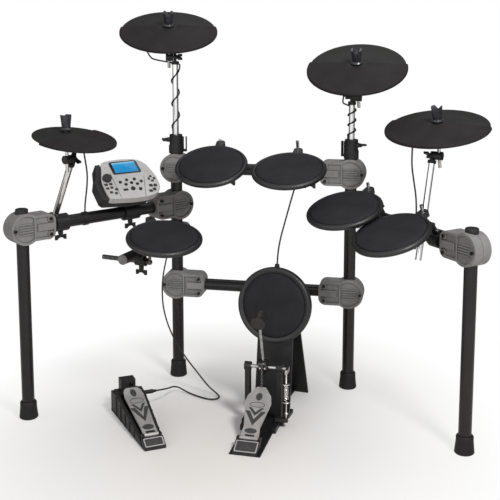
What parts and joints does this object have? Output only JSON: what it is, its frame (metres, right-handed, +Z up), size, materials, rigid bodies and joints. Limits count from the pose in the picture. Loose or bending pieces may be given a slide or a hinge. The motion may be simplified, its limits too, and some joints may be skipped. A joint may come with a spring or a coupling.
{
  "type": "electronic drum kit",
  "caption": "Electronic drum kit on a black tube rack with grey clamps, rubber drum and cymbal pads on tilting mounts, a sound module and two foot pedals.",
  "frame": {"origin": "on the floor under the middle of the kit", "axes": "+X to the player's right along the rear bars, +Y away from the player, +Z up"},
  "size_m": [1.4302, 0.6958, 1.2428],
  "materials": {
    "black_tube": "satin black paint",
    "soft_black": "matte rubber",
    "grey_clamp": "fine-grained warm grey",
    "steel": "plain",
    "chrome": "polished",
    "black_fitting": "satin black",
    "wing_black": "satin black",
    "black_steel": "satin black paint",
    "pad_rim": "glossy moulded rubber",
    "pad_rubber": "fine-grained charcoal",
    "cymbal_rubber": "matte charcoal",
    "pedal_metal": "satin grey",
    "board_metal": "satin cast with dark inlays",
    "pedal_black": "satin black",
    "cable_skin": "soft black jacket",
    "module_silver": "silver",
    "module_grey": "grey",
    "module_display": "blue display in a grey frame",
    "module_keys": "grey keys",
    "knob_grey": "satin grey"
  },
  "bodies": {
    "rack": {"legs": "black_tube", "bars": "black_tube", "rubber_feet": "soft_black", "tube_caps": "soft_black", "clamp_front_shells": "grey_clamp", "clamp_rear_shells": "grey_clamp", "clamp_screws": "steel", "posts": "chrome", "post_fittings": "black_fitting", "pad_grips": "black_fitting", "wing_bolts": "wing_black", "module_mount": "black_fitting", "kick_tower": "black_steel", "kick_pad_shell": "pad_rim", "kick_pad_head": "pad_rubber", "kick_pedal_base": "pedal_metal", "kick_chain": "steel", "kick_spring": "steel", "hihat_pedal_base": "pedal_black", "hihat_pedal_plug": "pedal_black", "crash_cables": "cable_skin", "kick_cable": "cable_skin", "ride_cable": "cable_skin", "hihat_cable": "cable_skin", "hihat_pedal_cable": "cable_skin"},
    "crash_left_arm": {"crash_left_tilter_arm": "chrome", "crash_left_wing_nut": "black_fitting"},
    "crash_left_pad": {"crash_left_cymbal": "cymbal_rubber"},
    "crash_right_arm": {"crash_right_tilter_arm": "chrome", "crash_right_wing_nut": "black_fitting"},
    "crash_right_pad": {"crash_right_cymbal": "cymbal_rubber"},
    "ride_arm": {"ride_tilter_arm": "chrome", "ride_wing_nut": "black_fitting"},
    "ride_pad": {"ride_cymbal": "cymbal_rubber"},
    "hihat_arm": {"hihat_tilter_arm": "chrome", "hihat_wing_nut": "black_fitting"},
    "hihat_pad": {"hihat_cymbal": "cymbal_rubber"},
    "snare_pad": {"snare_shell": "pad_rim", "snare_head": "pad_rubber", "snare_rod": "chrome"},
    "tom_one_pad": {"tom_one_shell": "pad_rim", "tom_one_head": "pad_rubber", "tom_one_rod": "chrome"},
    "tom_two_pad": {"tom_two_shell": "pad_rim", "tom_two_head": "pad_rubber", "tom_two_rod": "chrome"},
    "tom_three_pad": {"tom_three_shell": "pad_rim", "tom_three_head": "pad_rubber", "tom_three_rod": "chrome"},
    "floor_tom_pad": {"floor_tom_shell": "pad_rim", "floor_tom_head": "pad_rubber", "floor_tom_rod": "chrome"},
    "module": {"module_top": "module_silver", "module_base": "module_grey", "module_screen": "module_display", "module_keypad": "module_keys"},
    "module_knob": {"module_knob": "knob_grey"},
    "kick_footboard": {"kick_footboard": "board_metal"},
    "kick_beater": {"kick_beater": "chrome"},
    "hihat_footboard": {"hihat_footboard": "board_metal"}
  },
  "joints": [
    {"name": "crash_left_tilt", "type": "hinge", "parent": "rack", "child": "crash_left_arm", "pos_m": [-0.297, 0.24, 1.091], "axis": [0.9659, 0.2588, 0], "range_deg": [-10, 10], "deforming": ["crash_cables"]},
    {"name": "crash_left_rock", "type": "hinge", "parent": "crash_left_arm", "child": "crash_left_pad", "pos_m": [-0.30581, 0.19559, 1.19053], "axis": [0.9659, 0.2588, 0], "range_deg": [-4, 4], "stiffness_Nm_per_rad": 20, "deforming": ["crash_cables"]},
    {"name": "crash_right_tilt", "type": "hinge", "parent": "rack", "child": "crash_right_arm", "pos_m": [0.285, 0.24, 0.971], "axis": [0.9994, -0.0349, 0], "range_deg": [-10, 10], "deforming": ["crash_cables"]},
    {"name": "crash_right_rock", "type": "hinge", "parent": "crash_right_arm", "child": "crash_right_pad", "pos_m": [0.30313, 0.18607, 1.0802], "axis": [0.9994, -0.0349, 0], "range_deg": [-4, 4], "stiffness_Nm_per_rad": 20, "deforming": ["crash_cables"]},
    {"name": "ride_tilt", "type": "hinge", "parent": "rack", "child": "ride_arm", "pos_m": [0.545, 0.085, 0.816], "axis": [0.9511, -0.309, 0], "range_deg": [-10, 10], "deforming": ["ride_cable"]},
    {"name": "ride_rock", "type": "hinge", "parent": "ride_arm", "child": "ride_pad", "pos_m": [0.55612, 0.05449, 0.91938], "axis": [0.9511, -0.309, 0], "range_deg": [-4, 4], "stiffness_Nm_per_rad": 20, "deforming": ["ride_cable"]},
    {"name": "hihat_tilt", "type": "hinge", "parent": "rack", "child": "hihat_arm", "pos_m": [-0.523, -0.121, 0.805], "axis": [0.4695, 0.8829, 0], "range_deg": [-10, 10], "deforming": ["hihat_cable"]},
    {"name": "hihat_rock", "type": "hinge", "parent": "hihat_arm", "child": "hihat_pad", "pos_m": [-0.53239, -0.13865, 0.8895], "axis": [0.4695, 0.8829, 0], "range_deg": [-4, 0], "stiffness_Nm_per_rad": 20, "deforming": ["hihat_cable"]},
    {"name": "snare_tilt", "type": "hinge", "parent": "rack", "child": "snare_pad", "pos_m": [-0.32317, 0.00428, 0.46], "axis": [0.9774, -0.2113, 0], "range_deg": [-8, 8]},
    {"name": "tom_one_tilt", "type": "hinge", "parent": "rack", "child": "tom_one_pad", "pos_m": [-0.134, 0.212, 0.7655], "axis": [0.9997, -0.0244, 0], "range_deg": [-8, 8]},
    {"name": "tom_two_tilt", "type": "hinge", "parent": "rack", "child": "tom_two_pad", "pos_m": [0.128, 0.161, 0.7445], "axis": [0.9973, -0.0732, 0], "range_deg": [-8, 8]},
    {"name": "tom_three_tilt", "type": "hinge", "parent": "rack", "child": "tom_three_pad", "pos_m": [0.36336, 0.06324, 0.6735], "axis": [0.866, -0.5, 0], "range_deg": [-12, 0]},
    {"name": "floor_tom_tilt", "type": "hinge", "parent": "rack", "child": "floor_tom_pad", "pos_m": [0.53405, -0.08731, 0.6395], "axis": [0.7314, -0.682, 0], "range_deg": [0, 12]},
    {"name": "module_tilt", "type": "hinge", "parent": "rack", "child": "module", "pos_m": [-0.44038, 0.11042, 0.67063], "axis": [0.7193, 0.6947, 0], "range_deg": [-8, 8]},
    {"name": "module_knob_turn", "type": "hinge", "parent": "module", "child": "module_knob", "pos_m": [-0.46685, 0.02771, 0.71592], "axis": [0.4277, -0.4429, 0.788], "continuous": true},
    {"name": "kick_footboard", "type": "hinge", "parent": "rack", "child": "kick_footboard", "pos_m": [0.04987, -0.26775, 0.028], "axis": [0.9986, -0.0523, 0], "range_deg": [-4.6, 0], "stiffness_Nm_per_rad": 4, "springref_deg": 14.32, "deforming": ["kick_chain", "kick_spring"]},
    {"name": "kick_beater", "type": "hinge", "parent": "rack", "child": "kick_beater", "pos_m": [0.0595, -0.084, 0.176], "axis": [0.9986, -0.0523, 0], "range_deg": [-30, 0], "deforming": ["kick_chain", "kick_spring"]},
    {"name": "hihat_footboard", "type": "hinge", "parent": "rack", "child": "hihat_footboard", "pos_m": [-0.23596, -0.2961, 0.027], "axis": [0.8387, 0.5446, 0], "range_deg": [-8, 0], "stiffness_Nm_per_rad": 4, "springref_deg": 11.46}
  ],
  "couplings": [
    {"joint": "kick_beater", "follows": "kick_footboard", "ratio": 6.5}
  ]
}
